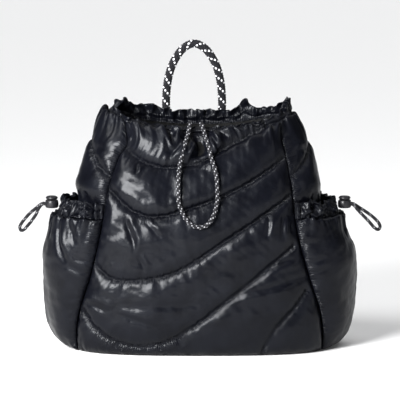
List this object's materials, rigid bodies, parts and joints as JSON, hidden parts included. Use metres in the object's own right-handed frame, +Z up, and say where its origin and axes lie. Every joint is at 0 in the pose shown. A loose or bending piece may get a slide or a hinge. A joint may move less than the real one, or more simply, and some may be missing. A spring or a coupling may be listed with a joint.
{
  "type": "quilted puffer backpack",
  "caption": "Black glossy quilted puffer backpack with a gathered drawstring mouth, a rope handle, side pockets with cord locks and padded shoulder straps",
  "frame": {"origin": "under the middle of the bag, without its free cords, on the surface that it stands on", "axes": "+Z up; -Y out of the quilted front, with the shoulder straps at +Y; +X to the right of someone looking at the front"},
  "size_m": [0.4546, 0.2012, 0.3798],
  "materials": {
    "shell_nylon": "glossy",
    "back_nylon": "satin",
    "braided_rope": "matte",
    "webbing": "matte",
    "black_plastic": "satin"
  },
  "bodies": {
    "root": {"front_panel": "shell_nylon", "back_panel": "back_nylon", "base_panel": "back_nylon", "rim_ruffle": "shell_nylon", "handle_rope": "braided_rope", "gusset_left": "shell_nylon", "gusset_right": "shell_nylon", "pocket_left": "shell_nylon", "pocket_right": "shell_nylon", "pocket_ruffle_left": "shell_nylon", "pocket_ruffle_right": "shell_nylon", "strap_left": "back_nylon", "strap_right": "back_nylon", "webbing_left": "webbing", "webbing_right": "webbing", "strap_lock_left": "black_plastic", "strap_lock_right": "black_plastic", "lock_barrel_left": "black_plastic", "lock_barrel_right": "black_plastic", "lock_button_left": "black_plastic", "lock_button_right": "black_plastic", "pocket_cord_left": "braided_rope", "pocket_cord_right": "braided_rope", "drawcord": "braided_rope"}
  },
  "joints": []
}
